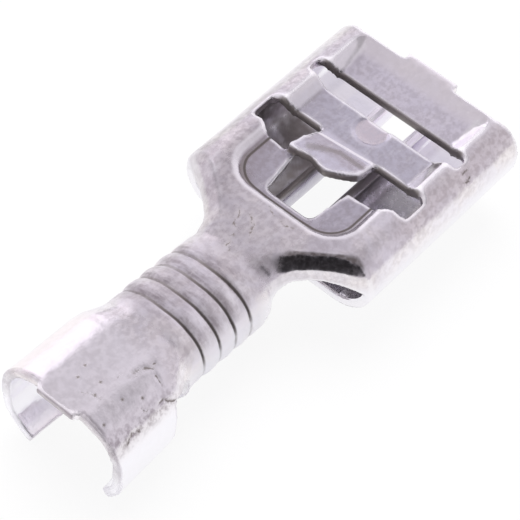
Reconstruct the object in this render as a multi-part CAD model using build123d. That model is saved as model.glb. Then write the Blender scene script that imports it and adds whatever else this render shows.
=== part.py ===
from build123d import *
import math
import os

# Female spade terminal stamped and folded from one tinned brass sheet.
# +X points to the mating end and +Z is the outer face of the base.
# While the features are made, X = 0 is the front edge of the strap across the base
# and Z = 0 is the outer face of the base; at the end the part is lifted and centred.

SHEET = 0.36

# receptacle box with its two side rolls, which reach a little past the base's front edge
BOX_W = 7.96
BOX_H = 2.80
ROLL_FRONT_X = 2.82
LIP_X = 2.60
LIP_HALF_W = 2.70
ROLL_END_X = -5.30
HOOK_Y = 1.55
HOOK_R = 1.00
HOOK_RISE = 30.0

# pressed middle of the base
SINK = 0.45
SINK_TOP_Y = 2.84
SINK_FLOOR_Y = 2.32
STRAP_REAR_X = -1.55
PANEL_REAR_X = 0.86
LIP_RAMP_X0 = 2.42
LIP_RAMP_X1 = 2.58
PANEL_RISE = ((0.70, -0.45), (2.05, -0.24), (3.10, 0.26))
TRAY_REAR_X = -2.40
TRAY_TOP_R = 0.50
TRAY_FLOOR_R = 0.30

# transverse slots
FRONT_SLOT_X = 0.62
FRONT_SLOT_Y = 3.20
REAR_SLOT_X0 = -2.88
REAR_SLOT_X1 = -1.74
REAR_SLOT_Y = 3.27
REAR_SLOT_MID_X = -3.20
SLOT_R = 0.26

# D-shaped recess with its window
D_REAR_X = -5.38
D_HALF_W = 2.36
D_CORNER_R = 1.15
D_BEVEL = (0.20, 0.09)
D_EDGE_STEP = 0.20
D_FLOOR_Z = -0.38
WINDOW_REAR_X = -4.90
WINDOW_FRONT_HALF_W = 1.16
WINDOW_REAR_HALF_W = 0.94

# locking tongue: it rises from the strap to a crest, then runs level to its rounded end
TONGUE_OUTLINE = (
    (-1.43, -1.00), (-2.50, -1.08), (-2.88, -0.72), (-3.26, -0.10), (-3.06, 0.60), (-3.26, 1.40),
    (-3.06, 1.48), (-1.43, 1.20),
)
TONGUE_CREST_X = -2.40
TONGUE_CREST_Z = -0.10
TONGUE_END_X = -3.60
TONGUE_END_Z = 0.06

# dimple in the strap
DIMPLE_X = -0.41
DIMPLE_R = 0.66
DIMPLE_FLOOR_R = 0.58
DIMPLE_DEPTH = 0.08

# carrier strip remnants
FRONT_TAB_X = 2.92
FRONT_TAB_HALF_W = 1.05
REAR_TAB_X = -16.16
REAR_TAB_HALF_W = 0.76

# crimp barrels
INS_REAR_X = -15.95
INS_REAR_HALF_W = 2.52
INS_FRONT_X = -13.00
INS_HALF_W = 2.41
INS_CORNER_R = 1.90
INS_CURL = (66.0, 46.0)
INS_TOP = 0.12
INS_WALL_Z = -2.45
WIRE_REAR_X = -11.70
WIRE_FRONT_X = -7.90
WIRE_HALF_W = 1.85
WIRE_CORNER_R = 1.50
WIRE_TOP = (0.14, -0.16)
WIRE_WALL_Z = (-1.58, -1.88)
WIRE_CURL = (60.0, 60.0)
GROOVE_X = (-11.20, -10.40, -9.64, -8.87)
GROOVE_W = 0.20
GROOVE_D = 0.11
RIB_RISE = 0.03
LEAN = 5.0
STEP_STATIONS = (
    (-12.70, 2.35, 1.88, -2.05),
    (-12.30, 2.10, 1.72, -1.85),
    (-12.00, 1.89, 1.56, -1.66),
)
NOTCH_PROFILE = ((-13.15, -6), (-12.95, -1.05), (-12.15, -1.05), (-11.92, -1.45), (-11.80, -6))

# neck: x, half width, width and drop of the shoulder, its two bends' radius, top, bottom of the wall
NECK_STATIONS = (
    (-7.50, 1.67, 0.66, 0.60, 0.95, -0.13, -1.55),
    (-7.20, 1.68, 0.62, 0.50, 0.55, -0.10, -1.25),
    (-6.85, 1.88, 0.62, 0.44, 0.32, -0.06, -0.98),
    (-6.45, 2.32, 0.66, 0.42, 0.26, -0.02, -0.86),
    (-6.10, 2.78, 0.72, 0.42, 0.26, 0.0, -0.88),
    (-5.75, 3.30, 0.78, 0.46, 0.34, 0.0, -1.00),
    (-5.50, 3.62, 0.76, 0.58, 0.70, 0.0, -1.20),
)
WING_FRONT_Z = -1.85

SECTION_POINTS = 17
CENTRE_X = (FRONT_TAB_X + REAR_TAB_X) / 2
WING_TIP_Z = INS_WALL_Z - INS_CORNER_R * math.sin(math.radians(INS_CURL[0]))


def half_path(half_w, shoulder, top, wall_bottom, curl_r, curl):
    """Points of a barrel section's outer line, from the middle of its top to one tip, with their normals."""
    width, drop, bend_r = shoulder
    slope = math.atan2(drop, width)
    back1 = bend_r * math.tan(slope / 2)
    back2 = bend_r * math.tan((math.pi / 2 - slope) / 2)
    moves = (
        (half_w - width - back1, 0.0),
        (bend_r * slope, slope),
        (math.hypot(width, drop) - back1 - back2, 0.0),
        (bend_r * (math.pi / 2 - slope), math.pi / 2 - slope),
        (top - drop - back2 - wall_bottom, 0.0),
        (curl_r * math.radians(curl), math.radians(curl)),
    )
    total = sum(length for length, _ in moves)
    points = []
    normals = []
    for i in range(SECTION_POINTS):
        left = total * i / (SECTION_POINTS - 1)
        y, z, heading = 0.0, top, 0.0
        for length, turn in moves:
            s = min(left, length)
            left -= s
            if turn and s > 0:
                r = length / turn
                after = heading + s / r
                y += r * (math.sin(after) - math.sin(heading))
                z -= r * (math.cos(heading) - math.cos(after))
                heading = after
            else:
                y += s * math.cos(heading)
                z -= s * math.sin(heading)
        points.append((y, z))
        normals.append((math.sin(heading), math.cos(heading)))
    return points, normals


def round_shoulder(r):
    """Shoulder that is one quarter circle."""
    return 0.5857 * r, 0.5857 * r, r


def section(x, half_w, shoulder, top, wall_bottom, curls, lean=0.0):
    """Closed section of the folded sheet, in a plane that leans forward by lean degrees."""
    slope = math.tan(math.radians(lean))
    outer_line = []
    inner_line = []
    for side, curl in ((1, curls[0]), (-1, curls[1])):
        points, normals = half_path(half_w, shoulder, top, wall_bottom, max(shoulder[2], 1.5), curl)
        outer = [(x + (top - z) * slope, side * y, z) for y, z in points]
        inner = []
        for (y, z), (n, m) in zip(points, normals):
            low = z - SHEET * m
            inner.append((x + (top - low) * slope, side * (y - SHEET * n), low))
        outer_line = list(reversed(outer_line[1:])) + outer if side < 0 else outer
        inner_line = list(reversed(inner_line[1:])) + inner if side < 0 else inner
    edges = [
        Spline(*outer_line),
        Line(outer_line[-1], inner_line[-1]),
        Spline(*reversed(inner_line)),
        Line(inner_line[0], outer_line[0]),
    ]
    return make_face(edges)


def along(points, half_w):
    """Prism of a profile drawn as (x, z) points, centred on Y = 0."""
    face = make_face(Polyline(*[(x, -half_w, z) for x, z in points], close=True))
    return extrude(face, amount=2 * half_w, dir=(0, 1, 0))


def across(points, x0, x1):
    """Prism of a section drawn as (y, z) points, from x0 to x1."""
    face = make_face(Polyline(*[(x0, y, z) for y, z in points], close=True))
    return extrude(face, amount=x1 - x0, dir=(1, 0, 0))


def plan(points, z0, z1):
    """Prism of an outline drawn as (x, y) points, from z0 to z1."""
    face = make_face(Polyline(*[(x, y, z0) for x, y in points], close=True))
    return extrude(face, amount=z1 - z0, dir=(0, 0, 1))


def block(x0, x1, y0, y1, z0, z1):
    return Pos((x0 + x1) / 2, (y0 + y1) / 2, (z0 + z1) / 2) * Box(x1 - x0, y1 - y0, z1 - z0)


def roll_section(x):
    """Flat base with both side rolls, as one closed line in the plane at x."""
    roll_r = BOX_H / 2
    ry = BOX_W / 2 - roll_r
    hook_z = HOOK_R - BOX_H
    end_a = 180 - HOOK_RISE

    def arc(cy, cz, r, a0, a1):
        spots = []
        for a in (a0, (a0 + a1) / 2, a1):
            t = math.radians(a)
            spots.append((x, cy + r * math.cos(t), cz + r * math.sin(t)))
        return ThreePointArc(*spots)

    outer = [
        arc(ry, -roll_r, roll_r, 90, -90),
        Line((x, ry, -BOX_H), (x, HOOK_Y, -BOX_H)),
        arc(HOOK_Y, hook_z, HOOK_R, 270, end_a),
    ]
    inner = [
        arc(HOOK_Y, hook_z, HOOK_R - SHEET, end_a, 270),
        Line((x, HOOK_Y, SHEET - BOX_H), (x, ry, SHEET - BOX_H)),
        arc(ry, -roll_r, roll_r - SHEET, -90, 90),
    ]
    tip = Line(outer[2] @ 1, inner[0] @ 0)
    right = outer + [tip] + inner
    left = [mirror(edge, about=Plane.XZ) for edge in right]
    top = Line((x, -ry, 0), (x, ry, 0))
    bottom = Line((x, -ry, -SHEET), (x, ry, -SHEET))
    return make_face(right + left + [top, bottom])


def wire_section(x, shrink=0.0):
    """Section of the wire barrel at x, its outline shrunk where a grip groove is pressed in."""
    part = (x - WIRE_REAR_X) / (WIRE_FRONT_X - WIRE_REAR_X)
    top = WIRE_TOP[0] + part * (WIRE_TOP[1] - WIRE_TOP[0])
    wall = WIRE_WALL_Z[0] + part * (WIRE_WALL_Z[1] - WIRE_WALL_Z[0])
    return section(x, WIRE_HALF_W - shrink, round_shoulder(WIRE_CORNER_R), top - shrink, wall, WIRE_CURL, LEAN)


def barrels():
    """Insulation barrel, wire barrel and neck, ruled between sections of the sheet."""
    insulation = round_shoulder(INS_CORNER_R)
    rows = [
        section(REAR_TAB_X, INS_REAR_HALF_W, insulation, INS_TOP, INS_WALL_Z, INS_CURL, LEAN),
        section(INS_FRONT_X, INS_HALF_W, insulation, INS_TOP, INS_WALL_Z, INS_CURL, LEAN),
    ]
    rows += [section(x, w, round_shoulder(r), INS_TOP, wall, WIRE_CURL, LEAN) for x, w, r, wall in STEP_STATIONS]
    rows.append(wire_section(WIRE_REAR_X))
    for i, x in enumerate(GROOVE_X):
        if i:
            rows.append(wire_section((GROOVE_X[i - 1] + x) / 2, -RIB_RISE))
        rows += [wire_section(x - GROOVE_W / 2), wire_section(x, GROOVE_D), wire_section(x + GROOVE_W / 2)]
    rows.append(wire_section(WIRE_FRONT_X))
    rows += [section(x, w, (wide, drop, r), top, wall, (4, 4)) for x, w, wide, drop, r, top, wall in NECK_STATIONS]
    inset = 0.015
    rows.append(section(
        ROLL_END_X + 2 * inset, BOX_W / 2 - inset, round_shoulder(BOX_H / 2 - inset), -inset,
        -BOX_H / 2 - inset, (4, 4)))
    return loft(rows, ruled=True)


def tray(grow, drop):
    """Tapered prism of the base's pressed middle, open to the rear, grown and dropped for its underside."""
    faces = []
    for front, half_w, z, r in (
        (LIP_RAMP_X1, SINK_TOP_Y, -drop, TRAY_TOP_R), (LIP_RAMP_X0, SINK_FLOOR_Y, -SINK - drop, TRAY_FLOOR_R),
    ):
        x0, x1, w = TRAY_REAR_X, front + grow, half_w + grow
        faces.append(make_face([
            Line((x0, -w, z), (x1 - r, -w, z)),
            TangentArc((x1 - r, -w, z), (x1, -w + r, z), tangent=(1, 0, 0)),
            Line((x1, -w + r, z), (x1, w - r, z)),
            TangentArc((x1, w - r, z), (x1 - r, w, z), tangent=(0, 1, 0)),
            Line((x1 - r, w, z), (x0, w, z)),
            Line((x0, w, z), (x0, -w, z)),
        ]))
    return faces[0], loft(faces, ruled=True)


def dimple(radius, floor_r, z):
    return Pos(DIMPLE_X, 0, z - DIMPLE_DEPTH / 2) * Cone(floor_r, radius, DIMPLE_DEPTH)


def pressed_base(body):
    """Press the middle of the base down between the rails, with the dimple in the strap."""
    miter = SHEET * math.tan(math.atan2(SINK, SINK_TOP_Y - SINK_FLOOR_Y) / 2)
    mouth, pocket = tray(0, 0)
    under = tray(miter, SHEET)[1]
    front = PANEL_RISE[-1][0]
    pocket -= along(PANEL_RISE + ((front, -2), (PANEL_RISE[0][0], -2)), 4)
    low = tuple((x, z - SHEET) for x, z in PANEL_RISE)
    under -= along(low + ((front, -2), (PANEL_RISE[0][0], -2)), 4)
    under += dimple(DIMPLE_R + 0.1, DIMPLE_FLOOR_R + 0.1, -SINK - SHEET)
    pocket += extrude(mouth, amount=0.3, dir=(0, 0, 1))
    return (body + under) - (pocket + dimple(DIMPLE_R, DIMPLE_FLOOR_R, -SINK))


def recess_mouth(grow, z):
    """Outline of the D-shaped recess, open towards the strap."""
    r = D_CORNER_R + grow
    x0, x1, w = D_REAR_X - grow, REAR_SLOT_MID_X + grow, D_HALF_W + grow
    return make_face([
        Line((x1, -w, z), (x0 + r, -w, z)),
        TangentArc((x0 + r, -w, z), (x0, -w + r, z), tangent=(-1, 0, 0)),
        Line((x0, -w + r, z), (x0, w - r, z)),
        TangentArc((x0, w - r, z), (x0 + r, w, z), tangent=(0, 1, 0)),
        Line((x0 + r, w, z), (x1, w, z)),
        Line((x1, w, z), (x1, -w, z)),
    ])


def recess(body):
    """The D-shaped recess with a bevelled rim, whose floor slopes down to the window."""
    face = recess_mouth(0, 0)
    x0, x1, w = D_REAR_X, REAR_SLOT_MID_X, D_HALF_W
    wide, deep = D_BEVEL
    hole = extrude(face, amount=1.2, dir=(0, 0, -1))
    hole += loft([recess_mouth(2 * wide, deep), recess_mouth(0, -deep)], ruled=True)
    m = WINDOW_REAR_HALF_W - 0.3
    top_line = [(-w - 0.02, -D_EDGE_STEP), (-m, D_FLOOR_Z), (m, D_FLOOR_Z), (w + 0.02, -D_EDGE_STEP)]
    low_line = [(y, z - SHEET) for y, z in reversed(top_line)]
    floor = across(top_line + low_line, x0 - 0.02, x1)
    floor &= extrude(offset(face, amount=0.02, kind=Kind.ARC), amount=1.5, dir=(0, 0, -1))
    skirt_h = D_EDGE_STEP + SHEET
    skirt = extrude(offset(face, amount=0.22, kind=Kind.ARC), amount=skirt_h, dir=(0, 0, -1))
    skirt = (skirt - hole) & block(x0 - 0.3, x1, -3, 3, -skirt_h, -SHEET / 2)
    return (body - hole) + floor + skirt


def openings():
    """Front slot, both rear slots and the window, as one cutter."""
    front = plan([
        (0, -FRONT_SLOT_Y), (FRONT_SLOT_X, -FRONT_SLOT_Y), (FRONT_SLOT_X, -SINK_TOP_Y),
        (PANEL_REAR_X, -SINK_FLOOR_Y), (PANEL_REAR_X, SINK_FLOOR_Y), (FRONT_SLOT_X, SINK_TOP_Y),
        (FRONT_SLOT_X, FRONT_SLOT_Y), (0, FRONT_SLOT_Y),
    ], -0.9, 0.2)
    front = fillet(front.edges().filter_by(Axis.Z).filter_by(
        lambda e: abs(abs(e.center().Y) - FRONT_SLOT_Y) < 0.01), SLOT_R)
    a, b, c = REAR_SLOT_X0, REAR_SLOT_X1, REAR_SLOT_MID_X
    rear = plan([
        (a, -REAR_SLOT_Y), (b, -REAR_SLOT_Y), (b, -SINK_TOP_Y), (STRAP_REAR_X, -SINK_FLOOR_Y),
        (STRAP_REAR_X, SINK_FLOOR_Y), (b, SINK_TOP_Y), (b, REAR_SLOT_Y), (a, REAR_SLOT_Y),
        (a, SINK_TOP_Y), (c, SINK_FLOOR_Y), (c, WINDOW_FRONT_HALF_W),
        (WINDOW_REAR_X, WINDOW_REAR_HALF_W), (WINDOW_REAR_X, -WINDOW_REAR_HALF_W),
        (c, -WINDOW_FRONT_HALF_W), (c, -SINK_FLOOR_Y), (a, -SINK_TOP_Y),
    ], -1.0, 0.2)
    rear = fillet(rear.edges().filter_by(Axis.Z).filter_by(
        lambda e: abs(abs(e.center().Y) - REAR_SLOT_Y) < 0.01 or abs(e.center().X - WINDOW_REAR_X) < 0.01),
        SLOT_R)
    return front, rear


def tongue():
    """Locking tongue raised from the strap's rear edge."""
    rise = math.atan2(TONGUE_CREST_Z + SINK, STRAP_REAR_X - TONGUE_CREST_X)
    half = SHEET * math.tan(rise / 2)
    strip = along([
        (STRAP_REAR_X + 0.12, -SINK), (STRAP_REAR_X, -SINK), (TONGUE_CREST_X, TONGUE_CREST_Z),
        (TONGUE_END_X, TONGUE_END_Z), (TONGUE_END_X, TONGUE_END_Z - SHEET),
        (TONGUE_CREST_X - half, TONGUE_CREST_Z - SHEET), (STRAP_REAR_X - half, -SINK - SHEET),
        (STRAP_REAR_X + 0.3, -SINK - SHEET), (STRAP_REAR_X + 0.3, -SINK - SHEET / 2),
    ], 2)
    return strip & plan(TONGUE_OUTLINE, -2, 2)


def terminal():
    box = extrude(roll_section(ROLL_END_X), amount=ROLL_FRONT_X - ROLL_END_X, dir=(1, 0, 0))
    w = LIP_HALF_W
    box -= plan([
        (LIP_X, -w), (ROLL_FRONT_X, -w - 0.7), (ROLL_FRONT_X + 1, -w - 0.7),
        (ROLL_FRONT_X + 1, w + 0.7), (ROLL_FRONT_X, w + 0.7), (LIP_X, w),
    ], -1.2, 0.1)
    box += block(LIP_X - 0.05, FRONT_TAB_X, -FRONT_TAB_HALF_W, FRONT_TAB_HALF_W, -SHEET, 0)
    body = box + barrels()
    body -= block(WIRE_FRONT_X, WIRE_FRONT_X + 0.8, -4, 4, -6, WING_FRONT_Z)
    body -= along(NOTCH_PROFILE, 4)
    cut = along([
        (REAR_TAB_X - 1, 1), (INS_REAR_X, 1), (INS_REAR_X, INS_TOP),
        (INS_REAR_X + 6 * math.tan(math.radians(LEAN)), INS_TOP - 6), (REAR_TAB_X - 1, INS_TOP - 6),
    ], 4)
    body -= cut - block(REAR_TAB_X - 2, INS_REAR_X + 1, -REAR_TAB_HALF_W, REAR_TAB_HALF_W, -1, 2)
    body = pressed_base(body)
    body = recess(body)
    for opening in openings():
        body -= opening
    body += tongue()
    return Pos(-CENTRE_X, 0, -WING_TIP_Z) * body


if __name__ == "__main__":
    os.makedirs("parts", exist_ok=True)
    export_step(terminal(), "parts/terminal_body.step")
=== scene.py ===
import math
from types import SimpleNamespace

import bmesh
import bpy
from mathutils import Matrix, Vector
from mathutils.bvhtree import BVHTree


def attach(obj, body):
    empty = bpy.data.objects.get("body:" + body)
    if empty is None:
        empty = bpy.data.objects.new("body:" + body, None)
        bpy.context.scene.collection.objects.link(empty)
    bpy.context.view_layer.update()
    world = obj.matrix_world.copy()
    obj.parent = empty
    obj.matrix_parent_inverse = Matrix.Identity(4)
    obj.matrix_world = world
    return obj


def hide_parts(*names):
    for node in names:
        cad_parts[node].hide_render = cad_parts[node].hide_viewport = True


bl_info = {
    "name": "Female spade terminal",
    "version": (1, 0, 0),
    "blender": (4, 5, 0),
    "location": "View3D > Sidebar > Terminal",
    "description": "Tinned sheet terminal with its rolls, tongue, grooves and dents, and a white stage",
    "category": "Object",
}

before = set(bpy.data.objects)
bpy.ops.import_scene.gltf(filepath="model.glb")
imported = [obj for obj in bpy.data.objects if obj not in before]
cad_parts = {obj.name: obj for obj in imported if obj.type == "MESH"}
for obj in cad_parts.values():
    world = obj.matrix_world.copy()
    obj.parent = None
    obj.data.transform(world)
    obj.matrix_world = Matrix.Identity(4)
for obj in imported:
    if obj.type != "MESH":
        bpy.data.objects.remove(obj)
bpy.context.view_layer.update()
MM = 0.001


# The photo's camera: azimuth, elevation and roll, place, focal length on its sensor, and picture width.
PHOTO_ANGLES = (math.radians(32.53), math.radians(52.18), math.radians(9.31))
PHOTO_PLACE = Vector((-0.04214623, -0.02726048, 0.06713994))
PHOTO_LENS = 173.23
SENSOR_WIDTH = 36
PHOTO_WIDTH = 520

# Creases of the sheet's outer face, drawn as lines through pixels of the photo, across and down.
CREASES = {
    "barrel_long": ((116, 377.5), (130, 375), (140, 371), (156, 367)),
    "barrel_short": ((156, 375), (162.5, 382.5)),
    "barrel_rear": ((75, 391), (82, 392.5), (99, 395.5)),
    "barrel_upper_fold": ((142, 407), (147, 412), (150, 407), (165, 400), (175, 400)),
    "barrel_lower_fold": ((125, 445), (132, 437), (137, 430), (150, 430)),
    "neck_long": ((240, 205), (235, 220), (232.5, 235), (227.5, 250)),
    "neck_middle": ((250, 212), (254, 225), (250, 235)),
    "neck_front": ((270, 207), (275, 220), (290, 227)),
    "rail_upper": ((462, 176), (466, 170), (469, 166)),
    "rail_lower": ((464, 180), (470, 178)),
}

# Small dents of the insulation barrel, as pixels of the photo.
PITS = ((78, 377), (100.5, 382), (95, 395), (122.5, 399.5), (142.5, 398), (104, 425), (85, 365))

# The D-shaped recess's outline: its rear edge along X, half width and corner radius, in millimetres.
RECESS_REAR = 1.24
RECESS_HALF = 2.36
RECESS_CORNER = 1.15

# The painted highlight on the rim outside that outline and the line of painted shade inside it, as distance
# and half width, in millimetres.
RIM_HIGHLIGHT = (0.12, 0.20)
RECESS_SHADE_LINE = (-0.20, 0.07)

# Middle of the strap's round dimple, and the distances at which its face ends and is full, in millimetres.
DIMPLE = (6.21, 0.0, 3.66)
DIMPLE_EDGE = (0.60, 0.52)

# The tongue's fold where it crosses the middle, its half width and its slant, which carries a painted
# highlight, and the soft hollow behind it, which carries painted shade, in millimetres.
FOLD_X = 4.93
FOLD_HALF = 0.11
FOLD_SLANT = 0.13
TONGUE_SHADE_LINE = ((3.9, 0.9, 4.13), (4.5, 0.05, 3.96), (4.5, -0.8, 3.96))

# Outward direction of the neck's folded shoulder on the near side; faces turned this way get painted shade.
SHOULDER_SHADE_NORMAL = (-0.57, -0.50, 0.65)

# A lighter rubbed spot on the far shoulder, in millimetres.
RUBBED_SPOT = (0.9, 2.75, 4.05)

# The wire barrel's grip grooves: their places along X where they cross its top, the height of that top, their
# lean, and the distances at which a groove's line of painted shade ends and is full. In millimetres.
GROOVES = (-4.58, -3.78, -3.02, -2.25)
GROOVE_TOP = 4.10
GROOVE_LEAN = math.radians(5)
GROOVE_SHADE_LINE = (0.09, 0.02)

# The strip of painted shade on a rib: how far its middle is in front of a groove, and its half width, in
# millimetres.
RIB_SHADE_STRIP = 0.2
RIB_SHADE_STRIP_HALF = 0.30

# Zones of the sheet, each by its borders: an axis and the two places, in millimetres, between which the zone
# sets in. "side" is the distance from the middle plane. Some zones only place painted highlights, reflections
# or shade.
ZONES = {
    "inner": (("side", 2.95, 2.70),),
    "strap": (("z", 4.12, 3.92), ("x", 0.6, 1.6), ("x", 7.3, 7.1)),
    "tongue": (("x", 2.0, 2.4), ("x", 5.2, 4.9), ("side", 1.7, 1.5)),
    "tongue_top": (("side", 1.45, 1.30), ("z", 3.6, 3.7)),
    "riser": (("x", 3.9, 4.2), ("x", 4.85, 4.75), ("side", 1.7, 1.1)),
    "bowl": (("side", 2.95, 2.70), ("x", 4.1, 3.7), ("x", 0.9, 1.6), ("z", 4.14, 4.00)),
    "behind_strap": (("x", 3.8, 3.5), ("z", 3.6, 3.7)),
    "ramp": (("side", 2.25, 2.45), ("side", 3.0, 2.85), ("x", 4.2, 4.4), ("x", 9.0, 8.8)),
    "panel": (("x", 7.25, 7.4), ("x", 8.9, 8.6), ("side", 2.5, 2.3)),
    "lip": (("x", 8.35, 8.75), ("side", 3.0, 2.7)),
    "near_rail": (("y", -2.8, -3.3), ("x", 2.0, 4.0)),
    "far_side": (("y", 0.9, 2.4), ("x", -1.6, -0.6), ("z", 3.55, 3.85)),
    "neck": (("x", -1.8, -0.9), ("x", 2.4, 1.2)),
    "wire": (("x", -5.6, -4.9), ("x", -1.0, -2.0)),
    "barrel": (("x", -5.6, -6.7),),
    "barrel_fold": (("x", -5.6, -6.7), ("y", -1.6, -2.25), ("z", 2.9, 3.3)),
    "barrel_blush": (("x", -5.6, -6.7), ("z", 3.3, 3.7), ("z", 4.25, 4.10), ("y", 0.0, 0.5)),
    "flanks": (("z", 3.4, 2.7), ("side", 1.2, 1.5)),
    "cut_end": (("x", -9.08, -9.17), ("side", 0.80, 0.90)),
    "tab_end": (("x", -9.47, -9.52),),
}

# Colours of small parts of the plating, and of painted highlights, floor reflections and shade lines.
PANEL_COLOUR = (0.84, 0.80, 0.92, 1)
RAIL_COLOUR = (0.66, 0.55, 0.50, 1)
# Colour of the painted highlight along the front lip.
LIP_HIGHLIGHT_COLOUR = (1.0, 0.95, 0.98, 1)
DIMPLE_COLOUR = (0.90, 0.81, 0.86, 1)
BLUSH_COLOUR = (1.0, 0.90, 0.91, 1)
# Painted reflection of the white floor on the lower sides.
FLANK_REFLECTION_COLOUR = (0.95, 0.95, 1.0, 1)
# Colour of rubbed streaks, and of convex edges that are partly rubbed and partly painted highlight.
RUBBED_AND_HIGHLIGHT_COLOUR = (0.95, 0.93, 0.96, 1)
# Colour of the painted highlights on the ramps, the recess's rim and the tongue's fold.
HIGHLIGHT_COLOUR = (1.0, 0.98, 1.0, 1)
# Near-black colour of painted shade lines in the grooves and the recess.
SHADE_LINE_COLOUR = (0.04, 0.035, 0.035, 1)

# Noise of the sheet, in waves per millimetre: a crease's waver, fine and broad ripple, and the ribs' stains
# and painted shade.
WAVER_SCALE = 2.2
RIPPLE_SCALE = 1.1
BROAD_SCALE = 0.45
RIB_STAIN_AND_SHADE_SCALE = 2.4

# Depth of the plating's grain, and the distance under which doubled points are merged, in millimetres.
GRAIN_DEPTH = 0.05
MERGE_DISTANCE = 0.002

# Rays that each point sends out to measure its hollow, which sets its painted shade: how many, how far off
# the face they start, in millimetres, and how strongly they lean to the face's outward direction.
HOLLOW_RAYS = 28
RAY_START = 0.02
RAY_LEAN = 1.05

# Parts of the studio dome, each as a direction, the two cosines between which it sets in, and the
# levels outside and inside it.
LEFT_WALL = ((-0.819, 0.574, 0.15), -0.04, 0.10, 0.0, 0.62)
LEFT_PANEL = ((0.30, 0.90, 0.20), 0.72, 0.84, 0.0, 1.0)
LEFT_STRIP = ((-0.30, 0.95, 0.10), 0.90, 0.98, 0.0, 0.40)
LEFT_SHADE = ((0.0, 0.95, 0.25), 0.25, 0.75, 0.74, 0.60)
FRONT_HALF = ((1.0, 0.0, 0.0), 0.15, 0.38, 0.0, 1.0)
FRONT_GLOW = ((0.92, 0.33, 0.21), 0.75, 0.92, 0.0, 0.25)
TOP_SHADE = ((-0.1, -0.5, 0.86), 0.70, 0.90, 1.0, 0.60)
DARK_PATCH = ((-0.60, -0.65, 0.46), 0.85, 0.92, 1.0, 0.06)
ROOM_COLOUR = (0.97, 0.93, 1, 1)

# The floor's half width, and the lamp's place, width and power.
FLOOR_HALF = 0.4
LAMP_PLACE = (0.03, 0.05, 0.16)
LAMP_WIDTH = 0.16
LAMP_POWER = 0.28


class Nodes:
    """Adds nodes to one tree and gives back their outputs."""

    def __init__(self, tree):
        self.tree = tree

    def add(self, kind, values=None, **settings):
        """A new node; values are numbers for its inputs, or outputs of other nodes to join to them."""
        node = self.tree.nodes.new(kind)
        for name, value in settings.items():
            setattr(node, name, value)
        for name, value in (values or {}).items():
            if isinstance(value, bpy.types.NodeSocket):
                self.join(value, node.inputs[name])
            else:
                node.inputs[name].default_value = value
        return node

    def join(self, value, socket):
        """Links an output to an input."""
        self.tree.links.new(value, socket)

    def maths(self, operation, first, *others, clamp=False):
        """The operation on the first value and each other in turn, or on the first alone."""
        for other in others or (0.0,):
            node = self.add("ShaderNodeMath", {0: first, 1: other}, operation=operation, use_clamp=clamp)
            first = node.outputs[0]
        return first

    def times(self, *values):
        return self.maths("MULTIPLY", *values)

    def total(self, *values):
        return self.maths("ADD", *values)

    def minus(self, first, second, clamp=False):
        return self.maths("SUBTRACT", first, second, clamp=clamp)

    def most(self, *values):
        return self.maths("MAXIMUM", *values)

    def least(self, *values):
        return self.maths("MINIMUM", *values)

    def gap(self, first, second):
        """How far apart two numbers are."""
        return self.maths("ABSOLUTE", self.minus(first, second))

    def vector(self, operation, *values, scale=None):
        """Output of a vector math node."""
        inputs = dict(enumerate(values))
        if scale is not None:
            inputs["Scale"] = scale
        node = self.add("ShaderNodeVectorMath", inputs, operation=operation)
        return node.outputs["Value" if operation in ("DOT_PRODUCT", "DISTANCE") else "Vector"]

    def split(self, value):
        """The three numbers of a vector."""
        return self.add("ShaderNodeSeparateXYZ", {0: value}).outputs

    def spread(self, value, low, high, out_low=0.0, out_high=1.0):
        """Goes smoothly from out_low to out_high while value goes from low to high."""
        node = self.add("ShaderNodeMapRange", {
            "Value": value, "From Min": low, "From Max": high, "To Min": out_low, "To Max": out_high,
        }, interpolation_type="SMOOTHSTEP")
        return node.outputs["Result"]

    def border(self, value, outside, inside):
        """Goes smoothly from 0 to 1 while value goes from outside to inside, up or down."""
        if outside < inside:
            return self.spread(value, outside, inside)
        return self.spread(value, inside, outside, 1.0, 0.0)

    def stripe(self, value, middle, half):
        """1 where value is near the middle, and 0 at half or more from it."""
        return self.spread(self.gap(value, middle), half * 0.3, half, 1.0, 0.0)

    def noise(self, place, scale, detail, roughness=0.5, distortion=0.0):
        """Outputs of a noise texture."""
        return self.add("ShaderNodeTexNoise", {
            "Vector": place, "Scale": scale, "Detail": detail, "Roughness": roughness,
            "Distortion": distortion}).outputs

    def stretched(self, place, scale):
        """Place with each axis scaled."""
        return self.add("ShaderNodeMapping", {"Vector": place, "Scale": scale}).outputs[0]

    def wavering(self, place, amount):
        """Place, in millimetres, shifted this way and that by up to about half the amount."""
        swirl = self.vector("SUBTRACT", self.noise(place, WAVER_SCALE, 2.0)["Color"], (0.5, 0.5, 0.5))
        return self.vector("ADD", place, self.vector("SCALE", swirl, scale=amount))

    def tint(self, amount, first, second):
        """Colour that goes from first to second with amount."""
        return self.add("ShaderNodeMix", {0: amount, 6: first, 7: second}, data_type="RGBA").outputs[2]


def new_material(name):
    """An empty node material, the maker of its nodes, and its output."""
    material = bpy.data.materials.new(name)
    material.use_nodes = True
    material.node_tree.nodes.clear()
    return material, Nodes(material.node_tree), material.node_tree.nodes.new("ShaderNodeOutputMaterial")


def new_group(name, inputs, outputs):
    """A shader group's maker and its two ends; inputs are names with a number, or None for a vector."""
    group = bpy.data.node_groups.new(name, "ShaderNodeTree")
    for label, value in inputs.items():
        kind = "NodeSocketVector" if value is None else "NodeSocketFloat"
        socket = group.interface.new_socket(label, in_out="INPUT", socket_type=kind)
        if value is not None:
            socket.default_value = value
    for label in outputs:
        group.interface.new_socket(label, in_out="OUTPUT", socket_type="NodeSocketFloat")
    start = group.nodes.new("NodeGroupInput").outputs
    end = group.nodes.new("NodeGroupOutput").inputs
    return Nodes(group), start, end


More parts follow.
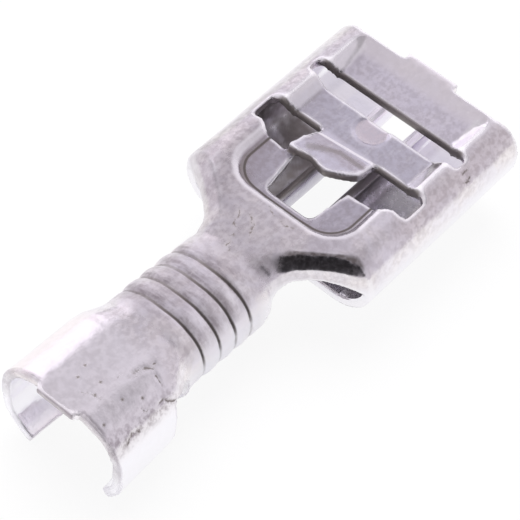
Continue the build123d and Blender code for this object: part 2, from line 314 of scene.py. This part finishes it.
def mottle_group():
    """Shader group: broad cloudy patches, fine grain and rubbed streaks of a dull plated surface."""
    inputs = {"Place": None, "Patches per mm": 0.6, "Grains per mm": 4.0}
    n, start, end = new_group("plating_mottle", inputs, ("Patches", "Grain", "Rubbed"))
    place = start["Place"]
    broad = n.times(start["Patches per mm"], 1 / MM)
    fine = n.times(start["Grains per mm"], 1 / MM)
    along = n.stretched(place, (0.25, 1.0, 1.0))
    n.join(n.noise(place, broad, 5.0, 0.62, 0.4)["Fac"], end["Patches"])
    n.join(n.noise(place, fine, 4.0, 0.6)["Fac"], end["Grain"])
    n.join(n.noise(along, n.times(fine, 0.8), 3.0, 0.7)["Fac"], end["Rubbed"])
    return n.tree


def mark_group():
    """Shader group: how far a place is from a straight line between two points."""
    n, start, end = new_group("mark_distance", dict.fromkeys(("Place", "From", "To")), ("Distance",))
    reach = n.vector("SUBTRACT", start["Place"], start["From"])
    whole = n.vector("SUBTRACT", start["To"], start["From"])
    length = n.most(n.vector("DOT_PRODUCT", whole, whole), 1e-6)
    share = n.maths("DIVIDE", n.vector("DOT_PRODUCT", reach, whole), length, clamp=True)
    foot = n.vector("SCALE", whole, scale=share)
    n.join(n.vector("DISTANCE", reach, foot), end["Distance"])
    return n.tree


def nearest(n, place, lines):
    """Distance from place to the nearest of the lines, all in millimetres."""
    group = bpy.data.node_groups.get("mark_distance") or mark_group()
    distance = 9.0
    for line in lines:
        for first, last in zip(line, line[1:] or line):
            mark = n.add("ShaderNodeGroup", node_tree=group)
            n.join(place, mark.inputs["Place"])
            mark.inputs["From"].default_value = first
            mark.inputs["To"].default_value = last
            distance = n.least(distance, mark.outputs[0])
    return distance


def read_sheet(n, settings):
    """What the material knows of a point of the sheet; mm, x, y, z and side are in millimetres."""
    coordinates = n.add("ShaderNodeTexCoord").outputs
    mottle = n.add("ShaderNodeGroup", node_tree=mottle_group())
    n.join(coordinates["Object"], mottle.inputs["Place"])
    mottle.inputs["Patches per mm"].default_value = settings.patches
    mottle.inputs["Grains per mm"].default_value = settings.grains
    at = SimpleNamespace(place=coordinates["Object"], outward=coordinates["Normal"])
    at.mm = n.vector("SCALE", at.place, scale=1 / MM)
    at.x, at.y, at.z = n.split(at.mm)
    at.side = n.maths("ABSOLUTE", at.y)
    at.patches, at.grain, at.rubbed = (mottle.outputs[name] for name in ("Patches", "Grain", "Rubbed"))
    for name in ("hollow", "crease", "bend", "step"):
        setattr(at, name, n.add("ShaderNodeAttribute", attribute_name=name).outputs["Fac"])
    return at


def find_zones(n, at):
    """How far a point lies in each zone, from 0 to 1, by the zone's name."""
    zones = SimpleNamespace()
    for name, borders in ZONES.items():
        parts = [n.border(getattr(at, axis), outside, inside) for axis, outside, inside in borders]
        setattr(zones, name, n.times(*parts) if len(parts) > 1 else parts[0])
    return zones


def find_lines(n, at, zones):
    """Painted lines of light and shade: shade in the grooves and on the ribs' strips before them, a highlight
    round the recess's edge with shade just inside it, and a highlight along the tongue's ridge.
    """
    lean = n.times(n.minus(GROOVE_TOP, at.z), math.tan(GROOVE_LEAN))
    upright = n.minus(at.x, lean)
    groove = n.least(*(n.gap(upright, place) for place in GROOVES))
    # Distance to the strip of painted shade in front of each groove.
    lines = SimpleNamespace(strip=n.least(*(n.gap(upright, place + RIB_SHADE_STRIP) for place in GROOVES)))
    # A line of painted shade in each groove, fuller on the near side and higher up.
    lines.groove = n.times(
        n.border(groove, *GROOVE_SHADE_LINE), n.spread(at.y, -0.5, 1.2, 1.0, 0.45),
        n.spread(at.z, 2.6, 3.3, 0.2, 1.0))

    beyond = n.most(n.minus(RECESS_REAR + RECESS_CORNER, at.x), 0.0)
    wide = n.most(n.minus(at.side, RECESS_HALF - RECESS_CORNER), 0.0)
    edge = n.maths("SQRT", n.total(n.times(beyond, beyond), n.times(wide, wide)))
    edge = n.minus(edge, RECESS_CORNER)
    # Painted highlight round the recess's rim, and a line of painted shade just inside it.
    lines.rim = n.times(n.stripe(edge, *RIM_HIGHLIGHT), zones.behind_strap)
    lines.drawn = n.times(n.stripe(edge, *RECESS_SHADE_LINE), zones.behind_strap)

    slanted = n.total(at.x, n.times(at.y, FOLD_SLANT))
    # Painted highlight along the tongue's fold.
    lines.fold = n.times(n.stripe(slanted, FOLD_X, FOLD_HALF), zones.tongue_top)
    return lines


def find_stain_and_shade(n, at, zones, lines):
    """How much the handled, duller plating shows, with painted shade on the tongue's riser, the recess's
    floor and the ribs just in front of each groove.
    """
    upper = n.minus(n.spread(at.z, 2.5, 3.5), n.times(zones.wire, n.border(at.z, 3.8, 3.1)), clamp=True)
    speckle = n.times(
        n.spread(at.grain, 0.38, 0.62, 0.30, 0.0), n.spread(at.patches, 0.30, 0.60, 0.4, 1.0),
        n.spread(zones.barrel, 0.0, 1.0, 1.0, 0.5))
    far_side = n.times(
        zones.far_side, n.spread(at.x, 3.0, 7.0, 1.0, 0.5), n.spread(at.patches, 0.35, 0.62, 1.0, 0.6),
        n.spread(n.vector("DISTANCE", at.mm, RUBBED_SPOT), 0.3, 1.1, 0.45, 1.0))
    barrel_fold = n.times(zones.barrel_fold, n.spread(at.grain, 0.35, 0.60, 1.0, 0.3))
    near_rail = n.times(
        zones.near_rail, n.spread(at.patches, 0.35, 0.62, 1.0, 0.5), n.spread(at.z, 3.3, 3.8),
        n.spread(at.grain, 0.36, 0.62, 0.36, 0.05))
    neck = n.times(zones.neck, n.spread(at.patches, 0.30, 0.70, 0.36, 0.10))
    # The ribs' mottled stain, with painted shade stronger on the strip in front of each groove.
    round_rib = n.stretched(at.place, (1.0, 0.3, 0.3))
    rib = n.spread(n.noise(round_rib, RIB_STAIN_AND_SHADE_SCALE / MM, 4.0, 0.65)["Fac"], 0.36, 0.64, 0.62, 0.10)
    rib = n.times(rib, n.spread(lines.strip, 0.0, RIB_SHADE_STRIP_HALF, 1.25, 0.65))
    # The tongue's riser and the recess's floor (bowl) get painted shade; the rest is stain.
    stain_and_shade = n.total(
        speckle, n.times(far_side, 0.52), n.times(barrel_fold, 0.78), n.times(zones.riser, 0.40),
        near_rail, neck, n.times(zones.wire, rib), n.times(zones.bowl, 0.25))
    return n.times(stain_and_shade, upper)


def find_shade_and_grime(n, at, lines, creases, pits, settings):
    """Painted shade in hollows, crevices, grooves, the recess's line and behind the tongue's ridge; dark slot
    walls facing rearwards, partly bare cut edges and partly painted shade; dark creases and pits, partly
    painted shade and partly dirt.
    """
    # Painted shade in concave bends, less towards the front.
    crevice = n.total(n.times(at.bend, -1.0), n.times(at.grain, 0.006))
    crevice = n.times(n.spread(crevice, 0.007, 0.024), n.spread(at.x, 6.5, 7.5, 1.0, 0.2))
    # Painted shade from the measured hollow: full inside the box, less at the roll tips, on the insulation
    # barrel and on the near side.
    shade = n.total(at.hollow, n.times(at.grain, 0.06))
    shade = n.times(
        n.spread(shade, 0.15, 0.37, 0.0, 0.86), n.spread(at.side, 0.60, 0.75, 0.2, 1.0),
        n.spread(at.x, -7.0, -6.0, 0.1, 1.0), n.spread(at.y, -1.6, -0.6, 0.5, 1.0))
    # Painted shade in the soft hollow behind the tongue's fold.
    tongue_shade = n.spread(nearest(n, at.mm, [TONGUE_SHADE_LINE]), 0.05, 0.26, 0.55, 0.0)
    # Dark lines along the creases and dots in the pits: partly painted shade in them, partly dirt.
    thick = n.spread(at.grain, 0.35, 0.62, settings.crease_width * 0.9, settings.crease_width * 0.3)
    scratch = nearest(n, n.wavering(at.mm, settings.waver), creases)
    scratch = n.spread(n.maths("DIVIDE", scratch, thick), 0.0, 1.0, 0.9, 0.0)
    speck = n.spread(nearest(n, at.mm, pits), 0.0, settings.pit_size, 0.95, 0.0)
    # Slot walls facing rearwards (step) are darkened, partly bare cut edges and partly painted shade; a soft
    # painted shade lies round the creases.
    return n.most(
        n.times(crevice, 0.55), shade, n.times(at.crease, 0.22), n.times(lines.drawn, 0.9), tongue_shade,
        n.times(at.step, 0.86), scratch, speck, n.times(lines.groove, 0.9))


def plating_layers(n, at, zones, lines, shade_and_grime, settings):
    """Colours laid over the tin one after another, each with how much of it shows; several are painted
    highlights, reflections and shade.
    """
    coined, stain_and_shade = (*settings.coined_colour, 1), (*settings.stain_and_shade_colour, 1)
    barrel, dark = (*settings.barrel_colour, 1), (*settings.shade_and_grime_colour, 1)
    pressed = n.times(zones.inner, n.most(zones.strap, zones.tongue))
    near_rail = n.times(zones.near_rail, n.spread(at.patches, 0.35, 0.62, 1.0, 0.5), n.spread(at.z, 3.3, 3.9))
    dimple = n.border(n.vector("DISTANCE", at.mm, DIMPLE), *DIMPLE_EDGE)
    cut = n.times(zones.cut_end, n.spread(at.grain, 0.35, 0.65, 0.50, 0.30))
    # Convex edges lighter, except on the insulation barrel: partly rubbed, partly painted highlight.
    edges = n.times(n.spread(at.bend, 0.006, 0.022, 0.0, 0.6), n.spread(at.x, -5.5, -1.0))
    # Painted highlight on the ramps from the rails, fuller on the near side.
    ramp = n.times(zones.ramp, n.spread(at.y, -1.0, 1.0, 1.0, 0.6))
    # Painted shade on the neck's near shoulder, by how far its faces turn towards the shoulder's direction.
    facing = n.vector("DOT_PRODUCT", at.outward, SHOULDER_SHADE_NORMAL)
    shoulder_shade = n.times(
        zones.neck, n.border(at.y, -1.2, -1.6), n.spread(at.z, 3.75, 3.95), n.spread(facing, 0.74, 0.94),
        n.spread(facing, 0.96, 0.985, 0.85, 0.3), n.spread(at.grain, 0.35, 0.65, 1.0, 0.6))
    # Near-black painted shade along the grooves, fuller on the near side.
    groove_shade = n.times(lines.groove, n.spread(at.y, -1.0, 0.6, 0.65, 0.1))
    return (
        (n.times(pressed, 0.9), coined),
        (n.times(zones.panel, 0.6), PANEL_COLOUR),
        (n.times(zones.barrel, 0.8), barrel),
        (find_stain_and_shade(n, at, zones, lines), stain_and_shade),
        (n.times(near_rail, 0.28), RAIL_COLOUR),
        # Painted highlight along the front lip.
        (n.times(zones.lip, 0.6), LIP_HIGHLIGHT_COLOUR),
        (n.times(dimple, n.spread(at.grain, 0.3, 0.7, 0.75, 0.4)), DIMPLE_COLOUR),
        (n.times(zones.barrel_blush, 0.5), BLUSH_COLOUR),
        # Painted reflection of the white floor on the lower sides.
        (n.times(zones.flanks, 0.6), FLANK_REFLECTION_COLOUR),
        (n.most(cut, n.times(zones.tab_end, 0.85)), stain_and_shade),
        # Rubbed streaks, and convex edges lightened, partly rubbed and partly painted highlight.
        (n.total(n.spread(at.rubbed, 0.52, 0.75, 0.0, 0.30), edges), RUBBED_AND_HIGHLIGHT_COLOUR),
        # Painted highlights on the ramps, the recess's rim and the tongue's fold.
        (n.most(n.times(ramp, 0.85), n.times(lines.rim, 0.6), n.times(lines.fold, 0.8)), HIGHLIGHT_COLOUR),
        # Painted shade in hollows, slots, crevices and grooves, and dirt in creases and pits.
        (shade_and_grime, dark),
        # Painted shade on the neck's near shoulder.
        (shoulder_shade, dark),
        # Near-black painted shade in the grooves and along the recess's line.
        (n.most(groove_shade, n.times(lines.drawn, 0.5)), SHADE_LINE_COLOUR),
    )


def tin_material(settings, creases, pits):
    """Dull tin: cool and warm patches, stains, coined and rubbed faces, dirt in creases and pits, and painted
    shade, highlights and floor reflections.
    """
    material, n, output = new_material("tinned_sheet")
    at = read_sheet(n, settings)
    zones = find_zones(n, at)
    lines = find_lines(n, at, zones)
    shade_and_grime = find_shade_and_grime(n, at, lines, creases, pits, settings)
    cool, warm = (*settings.tin_colour, 1), (*settings.warm_colour, 1)
    colour = n.tint(n.spread(at.patches, 0.36, 0.68), cool, warm)
    for amount, layer in plating_layers(n, at, zones, lines, shade_and_grime, settings):
        colour = n.tint(amount, colour, layer)

    raised = n.times(
        n.spread(at.bend, 0.016, 0.030), n.spread(zones.neck, 0.0, 0.5, 1.0, 0.0),
        n.spread(at.step, 0.0, 0.6, 1.0, 0.0))
    rough = n.total(
        n.spread(at.grain, 0.3, 0.7, 0.13, 0.24), n.times(shade_and_grime, 0.25), n.times(zones.wire, 0.28),
        n.times(zones.neck, n.spread(at.y, -1.6, -1.2), 0.14), n.times(raised, 0.25))
    near_ribs = n.times(
        zones.wire, n.spread(at.y, -1.2, -0.6, 0.35, 0.0), n.spread(lines.groove, 0.0, 0.5, 1.0, 0.0))
    metal = n.minus(n.minus(1.0, n.most(n.times(shade_and_grime, 0.5), n.times(raised, 0.4))), near_ribs)
    height = n.total(n.times(at.grain, 0.6), n.times(at.rubbed, 0.4))
    bump = n.add("ShaderNodeBump", {
        "Height": height, "Strength": settings.grain_relief, "Distance": GRAIN_DEPTH * MM})
    shader = n.add("ShaderNodeBsdfPrincipled", {
        "Base Color": colour, "Roughness": rough, "Metallic": metal, "Normal": bump.outputs[0]})
    n.join(shader.outputs[0], output.inputs["Surface"])
    return material


def dent_sheet(n, start, place, normal):
    """The sheet with its creases, pits and ripple pressed in, and how deep each point is in a crease."""

    def near(target, kind, width, source):
        shape = n.add("GeometryNodeObjectInfo", {"Object": start[target]}).outputs["Geometry"]
        distance = n.add("GeometryNodeProximity", {"Target": shape, "Source Position": source},
                         target_element=kind).outputs["Distance"]
        return n.minus(1.0, n.spread(n.maths("DIVIDE", distance, start[width]), 0.0, 1.0))

    crease = n.most(
        near("Creases", "EDGES", "Crease width", n.wavering(place, start["Waver"])),
        near("Pits", "POINTS", "Pit size", place))
    fine = n.minus(n.noise(place, RIPPLE_SCALE, 3.0, 0.6)["Fac"], 0.5)
    broad = n.minus(n.noise(place, BROAD_SCALE, 1.0)["Fac"], 0.5)
    crimps = n.minus(1.0, n.spread(n.split(place)[0], -2.0, 3.0, 0.0, 0.75))
    ripple = n.times(n.total(n.times(fine, crimps), broad), start["Ripple height"])
    inward = n.minus(ripple, n.times(crease, start["Crease depth"]))
    dented = n.add("GeometryNodeSetPosition", {
        "Geometry": start["Geometry"], "Offset": n.vector("SCALE", normal, scale=inward)}).outputs[0]
    return dented, crease


def measure_hollows(n, start, dented, place, normal):
    """Sends rays out of each point; gives the sheet, and how much of what they meet is close by."""
    lifted = n.vector("ADD", place, n.vector("SCALE", normal, scale=RAY_START))
    first = n.tree.nodes.new("GeometryNodeRepeatInput")
    last = n.tree.nodes.new("GeometryNodeRepeatOutput")
    first.pair_with_output(last)
    last.repeat_items.new("FLOAT", "Blocked")
    n.join(start["Rays"], first.inputs["Iterations"])
    n.join(dented, first.inputs["Geometry"])
    scatter = n.add("FunctionNodeRandomValue", {
        "Min": (-1, -1, -1), "Max": (1, 1, 1), "Seed": first.outputs["Iteration"]}, data_type="FLOAT_VECTOR")
    outward = n.vector("SCALE", normal, scale=RAY_LEAN)
    aim = n.vector("ADD", n.vector("NORMALIZE", scatter.outputs[0]), outward)
    ray = n.add("GeometryNodeRaycast", {
        "Target Geometry": dented, "Source Position": lifted, "Ray Direction": aim,
        "Ray Length": start["Reach"]})
    closeness = n.minus(1.0, n.maths("DIVIDE", ray.outputs["Hit Distance"], start["Reach"]))
    blocked = n.times(ray.outputs["Is Hit"], n.maths("SQRT", closeness))
    n.join(n.total(first.outputs["Blocked"], blocked), last.inputs["Blocked"])
    n.join(first.outputs["Geometry"], last.inputs["Geometry"])
    return last.outputs["Geometry"], n.maths("DIVIDE", last.outputs["Blocked"], start["Rays"])


def wear_tree(settings, material):
    """Geometry Nodes that crease, pit and ripple the sheet and measure its hollows, slots and bends, from
    which the material paints shade and highlights.
    """
    tree = bpy.data.node_groups.new("sheet_wear", "GeometryNodeTree")
    tree.interface.new_socket("Geometry", in_out="OUTPUT", socket_type="NodeSocketGeometry")
    for name, kind, value in (
        ("Geometry", "Geometry", None),
        ("Creases", "Object", None),
        ("Pits", "Object", None),
        ("Crease width", "Float", settings.crease_width),
        ("Crease depth", "Float", settings.crease_depth),
        ("Pit size", "Float", settings.pit_size),
        ("Waver", "Float", settings.waver),
        ("Ripple height", "Float", settings.ripple_height),
        ("Reach", "Float", settings.reach),
        ("Rays", "Int", HOLLOW_RAYS),
        ("Material", "Material", material),
    ):
        socket = tree.interface.new_socket(name, in_out="INPUT", socket_type="NodeSocket" + kind)
        if value is not None:
            socket.default_value = value
    start = tree.nodes.new("NodeGroupInput").outputs
    end = tree.nodes.new("NodeGroupOutput")
    n = Nodes(tree)
    place = n.add("GeometryNodeInputPosition").outputs[0]
    normal = n.add("GeometryNodeInputNormal").outputs["Normal"]
    x, y, z = n.split(place)
    facing = n.split(normal)[0]

    dented, crease = dent_sheet(n, start, place, normal)
    shape, hollow = measure_hollows(n, start, dented, place, normal)
    # The measured hollow is kept for painted shade inside the box behind its open front, and on walls facing
    # rearwards.
    inside = n.times(n.border(z, 3.4, 3.1), n.border(x, 6.9, 6.1))
    walls = n.times(n.spread(facing, -0.85, -0.5, 1.0, 0.25), n.spread(z, 3.1, 3.4))
    hollow = n.times(hollow, n.most(inside, walls))
    # Slot walls facing rearwards, darkened later: partly bare cut edges, partly painted shade.
    step = n.times(
        n.border(facing, -0.40, -0.75), n.spread(z, 3.2, 3.4),
        n.border(n.maths("ABSOLUTE", y), 3.1, 2.9), n.spread(x, 2.5, 2.8))
    soft = n.add("GeometryNodeBlurAttribute", {"Value": place, "Iterations": 6}, data_type="FLOAT_VECTOR")
    bend = n.vector("DOT_PRODUCT", n.vector("SUBTRACT", place, soft.outputs[0]), normal)

    marks = (("hollow", hollow, 2), ("crease", crease, 0), ("bend", bend, 1), ("step", step, 0))
    for name, value, rounds in marks:
        blurred = n.add("GeometryNodeBlurAttribute", {"Value": value, "Iterations": rounds}).outputs[0]
        shape = n.add("GeometryNodeStoreNamedAttribute", {"Geometry": shape, "Name": name, "Value": blurred},
                      domain="POINT").outputs[0]
    real = n.add("GeometryNodeRealizeInstances", {"Geometry": shape}).outputs[0]
    plated = n.add("GeometryNodeSetMaterial", {"Geometry": real, "Material": start["Material"]}).outputs[0]
    n.join(plated, end.inputs["Geometry"])
    return tree


def camera_turn(azimuth, elevation, roll):
    """Turn of a camera that looks along azimuth and down by elevation, with a roll."""
    flat = math.cos(elevation)
    back = Vector((-math.cos(azimuth) * flat, -math.sin(azimuth) * flat, math.sin(elevation)))
    level = Vector((0, 0, 1)).cross(back).normalized()
    upright = back.cross(level)
    right = math.cos(roll) * level + math.sin(roll) * upright
    return Matrix((right, back.cross(right), back)).transposed()


def seen_places(node, lines):
    """Lines through the places, in millimetres, where the photo's camera sees their pixels on the node."""
    points = [point.co for point in node.data.vertices]
    surface = BVHTree.FromPolygons(points, [face.vertices for face in node.data.polygons])
    turn = camera_turn(*PHOTO_ANGLES)
    middle = PHOTO_WIDTH / 2
    focus = PHOTO_LENS / SENSOR_WIDTH * PHOTO_WIDTH

    def seen(across, down):
        ray = turn @ Vector((across - middle, middle - down, -focus))
        return tuple(surface.ray_cast(PHOTO_PLACE, ray.normalized())[0] / MM)

    return [[seen(*pixel) for pixel in line] for line in lines]


def line_object(name, lines):
    """A helper mesh of open lines, or of single points."""
    mesh = bpy.data.meshes.new(name)
    points = [point for line in lines for point in line]
    edges = []
    count = 0
    for line in lines:
        edges += [(count + i, count + i + 1) for i in range(len(line) - 1)]
        count += len(line)
    mesh.from_pydata(points, edges, [])
    helper = bpy.data.objects.new(name, mesh)
    bpy.context.scene.collection.objects.link(helper)
    return helper


def worn_copy(node, settings):
    """The node's mesh remade from even faces with softened edges, then creased and measured."""
    mesh = node.data.copy()
    mesh.materials.clear()
    mesh.transform(Matrix.Scale(1 / MM, 4))
    build = bmesh.new()
    build.from_mesh(mesh)
    bmesh.ops.remove_doubles(build, verts=build.verts, dist=MERGE_DISTANCE)
    build.to_mesh(mesh)
    build.free()
    work = bpy.data.objects.new("work", mesh)
    bpy.context.scene.collection.objects.link(work)
    remesh = work.modifiers.new("even", "REMESH")
    remesh.mode = "VOXEL"
    remesh.voxel_size = settings.face_size / MM
    remesh.use_smooth_shade = True
    smooth = work.modifiers.new("soften", "SMOOTH")
    smooth.factor = 0.5
    smooth.iterations = 2
    wear = work.modifiers.new("wear", "NODES")
    creases = seen_places(node, CREASES.values())
    pits = seen_places(node, [[pit] for pit in PITS])
    wear.node_group = wear_tree(settings, tin_material(settings, creases, pits))
    helpers = {"Creases": line_object("creases", creases), "Pits": line_object("pits", pits)}
    for item in wear.node_group.interface.items_tree:
        if item.in_out == "INPUT" and item.name in helpers:
            wear[item.identifier] = helpers[item.name]
    result = bpy.data.meshes.new_from_object(work.evaluated_get(bpy.context.evaluated_depsgraph_get()))
    result.transform(Matrix.Scale(MM, 4))
    result.name = "terminal_sheet"
    for helper in (work, *helpers.values()):
        bpy.data.meshes.remove(helper.data)
    return result


def make_floor():
    """A white floor that keeps the terminal's shadow and is mirrored in the metal."""
    mesh = bpy.data.meshes.new("floor")
    s = FLOOR_HALF
    mesh.from_pydata([(-s, -s, 0), (s, -s, 0), (s, s, 0), (-s, s, 0)], [], [(0, 1, 2, 3)])
    floor = bpy.data.objects.new("floor", mesh)
    bpy.context.scene.collection.objects.link(floor)
    material, n, output = new_material("white_floor")
    matt = n.add("ShaderNodeBsdfDiffuse", {"Color": (0.9, 0.9, 0.9, 1)})
    glow = n.add("ShaderNodeEmission", {"Strength": 1.0})
    path = n.add("ShaderNodeLightPath").outputs
    seen = n.times(n.most(path["Is Camera Ray"], path["Is Glossy Ray"]), 0.9)
    mix = n.add("ShaderNodeMixShader", {0: seen, 1: matt.outputs[0], 2: glow.outputs[0]})
    n.join(mix.outputs[0], output.inputs["Surface"])
    mesh.materials.append(material)


def make_world(scene):
    """A grey dome, brighter on the left and in front, with one dark patch; the camera sees it white."""
    world = bpy.data.worlds.new("studio")
    scene.world = world
    world.use_nodes = True
    world.node_tree.nodes.clear()
    output = world.node_tree.nodes.new("ShaderNodeOutputWorld")
    n = Nodes(world.node_tree)
    place = n.add("ShaderNodeTexCoord").outputs["Generated"]

    def part(direction, low, high, outside, inside):
        cosine = n.vector("DOT_PRODUCT", place, Vector(direction).normalized())
        return n.spread(cosine, low, high, outside, inside)

    left = n.times(part(*LEFT_WALL), part(*LEFT_PANEL), part(*FRONT_HALF))
    shades = n.times(part(*LEFT_SHADE), part(*TOP_SHADE))
    level = n.total(shades, left, part(*LEFT_STRIP), part(*FRONT_GLOW))
    level = n.times(level, part(*DARK_PATCH))
    room = n.add("ShaderNodeBackground", {"Color": ROOM_COLOUR, "Strength": level})
    white = n.add("ShaderNodeBackground", {"Color": (1, 1, 1, 1)})
    seen = n.add("ShaderNodeLightPath").outputs["Is Camera Ray"]
    mix = n.add("ShaderNodeMixShader", {0: seen, 1: room.outputs[0], 2: white.outputs[0]})
    n.join(mix.outputs[0], output.inputs["Surface"])


def make_lamp():
    """One wide soft lamp above, which lights what is dull and isn't mirrored in the metal."""
    lamp = bpy.data.lights.new("softbox", "AREA")
    lamp.shape = "DISK"
    lamp.size = LAMP_WIDTH
    lamp.energy = LAMP_POWER
    holder = bpy.data.objects.new("softbox", lamp)
    bpy.context.scene.collection.objects.link(holder)
    holder.visible_glossy = False
    place = Vector(LAMP_PLACE)
    holder.matrix_world = Matrix.Translation(place) @ place.to_track_quat("Z", "Y").to_matrix().to_4x4()


def make_camera(scene, settings):
    """The camera, which stands where the photo's stood unless the settings say otherwise."""
    turn = camera_turn(settings.azimuth, settings.elevation, settings.roll)
    camera = bpy.data.cameras.new("camera")
    camera.sensor_width = SENSOR_WIDTH
    camera.lens = settings.lens
    camera.clip_start = MM
    holder = bpy.data.objects.new("camera", camera)
    scene.collection.objects.link(holder)
    holder.matrix_world = Matrix.Translation(settings.place) @ turn.to_4x4()
    scene.camera = holder


class TERMINAL_PG_sheet(bpy.types.PropertyGroup):
    """Colours, grain and wear of the folded sheet, and the colour of its painted shade."""

    tin_colour: bpy.props.FloatVectorProperty(
        name="Tin colour", description="Colour of the clean tin plating", subtype="COLOR",
        default=(0.88, 0.845, 0.90), min=0, max=1)
    warm_colour: bpy.props.FloatVectorProperty(
        name="Warm tin colour", description="Colour of the plating's warmer patches", subtype="COLOR",
        default=(0.90, 0.85, 0.86), min=0, max=1)
    coined_colour: bpy.props.FloatVectorProperty(
        name="Coined tin colour", description="Colour of the faces that the press has smoothed",
        subtype="COLOR", default=(0.62, 0.60, 0.69), min=0, max=1)
    # Colour of stains and cut ends, and of the painted shade on the tongue's riser, the recess's floor and
    # the ribs.
    stain_and_shade_colour: bpy.props.FloatVectorProperty(
        name="Stain colour", description="Colour of the duller, handled plating", subtype="COLOR",
        default=(0.40, 0.355, 0.38), min=0, max=1)
    barrel_colour: bpy.props.FloatVectorProperty(
        name="Insulation barrel colour", description="Colour of the clean plating on the insulation barrel",
        subtype="COLOR", default=(1.0, 0.965, 1.0), min=0, max=1)
    # Colour of the painted shade in hollows, slots, grooves and crevices, and of the dirt in creases and
    # pits.
    shade_and_grime_colour: bpy.props.FloatVectorProperty(
        name="Grime colour", description="Colour of the grime in hollows, creases and grooves",
        subtype="COLOR", default=(0.17, 0.14, 0.125), min=0, max=1)
    patches: bpy.props.FloatProperty(
        name="Patches per mm", description="How close together the cloudy patches are", default=0.85, min=0)
    grains: bpy.props.FloatProperty(
        name="Grains per mm", description="How fine the plating's grain is", default=4.6, min=0)
    grain_relief: bpy.props.FloatProperty(
        name="Grain relief", description="Strength of the grain's bump", default=0.22, min=0, max=1)
    crease_width: bpy.props.FloatProperty(
        name="Crease width", description="Half width of a crease, in mm", default=0.11, min=0.01)
    crease_depth: bpy.props.FloatProperty(
        name="Crease depth", description="Depth of creases and pits, in mm", default=0.014, min=0)
    waver: bpy.props.FloatProperty(
        name="Crease waver", description="How far a crease strays from its line, in mm", default=0.5, min=0)
    pit_size: bpy.props.FloatProperty(
        name="Pit size", description="Radius of a pit, in mm", default=0.10, min=0.01)
    ripple_height: bpy.props.FloatProperty(
        name="Ripple height", description="Unevenness of the sheet, in mm", default=0.035, min=0)
    reach: bpy.props.FloatProperty(
        name="Hollow reach", description="How far a surface may be from one that shades it, in mm",
        default=2.6, min=0.1)
    face_size: bpy.props.FloatProperty(
        name="Face size", description="Size of the even faces that the sheet is remade from", unit="LENGTH",
        default=0.08 * MM, min=0.03 * MM)


class TERMINAL_PG_stage(bpy.types.PropertyGroup):
    """Where the camera stands and how it looks."""

    azimuth: bpy.props.FloatProperty(
        name="Azimuth", description="Direction of the camera's view round the vertical", subtype="ANGLE",
        default=PHOTO_ANGLES[0])
    elevation: bpy.props.FloatProperty(
        name="Elevation", description="Angle of the camera's view below the horizon", subtype="ANGLE",
        default=PHOTO_ANGLES[1])
    roll: bpy.props.FloatProperty(
        name="Roll", description="Turn of the camera about its own axis", subtype="ANGLE",
        default=PHOTO_ANGLES[2])
    place: bpy.props.FloatVectorProperty(
        name="Camera place", description="Where the camera stands", subtype="XYZ", unit="LENGTH",
        default=PHOTO_PLACE)
    lens: bpy.props.FloatProperty(
        name="Lens", description="Focal length on a sensor 36 mm wide", default=PHOTO_LENS, min=1)


class TERMINAL_OT_sheet(bpy.types.Operator):
    """Softens the folded sheet's cut edges, dents it and gives it its plating, with painted shade, highlights
    and reflections.
    """

    bl_idname = "terminal.sheet"
    bl_label = "Folded sheet"

    def execute(self, context):
        settings = context.scene.terminal_sheet
        sheet = bpy.data.objects.new("terminal_sheet", worn_copy(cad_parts["terminal_body"], settings))
        context.scene.collection.objects.link(sheet)
        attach(sheet, "root")
        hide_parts("terminal_body")
        return {"FINISHED"}


class TERMINAL_OT_stage(bpy.types.Operator):
    """Sets up the white stage, the lamp and the camera."""

    bl_idname = "terminal.stage"
    bl_label = "Stage"

    def execute(self, context):
        make_floor()
        make_world(context.scene)
        make_lamp()
        make_camera(context.scene, context.scene.terminal_stage)
        context.scene.view_settings.view_transform = "Standard"
        return {"FINISHED"}


class TERMINAL_PT_panel(bpy.types.Panel):
    """Lists the sheet's and the stage's settings and their operators."""

    bl_idname = "TERMINAL_PT_panel"
    bl_label = "Spade terminal"
    bl_space_type = "VIEW_3D"
    bl_region_type = "UI"
    bl_category = "Terminal"

    def draw(self, context):
        for group in (context.scene.terminal_sheet, context.scene.terminal_stage):
            for name in group.__annotations__:
                self.layout.prop(group, name)
        for operator in OPERATORS:
            self.layout.operator(operator.bl_idname)


OPERATORS = (TERMINAL_OT_sheet, TERMINAL_OT_stage)
GROUPS = {"terminal_sheet": TERMINAL_PG_sheet, "terminal_stage": TERMINAL_PG_stage}


def register():
    for name, group in GROUPS.items():
        bpy.utils.register_class(group)
        setattr(bpy.types.Scene, name, bpy.props.PointerProperty(type=group))
    for cls in (*OPERATORS, TERMINAL_PT_panel):
        bpy.utils.register_class(cls)


def unregister():
    for cls in (TERMINAL_PT_panel, *reversed(OPERATORS)):
        bpy.utils.unregister_class(cls)
    for name, group in reversed(GROUPS.items()):
        delattr(bpy.types.Scene, name)
        bpy.utils.unregister_class(group)


def main():
    register()
    bpy.ops.terminal.sheet()
    bpy.ops.terminal.stage()


if __name__ == "__main__":
    main()
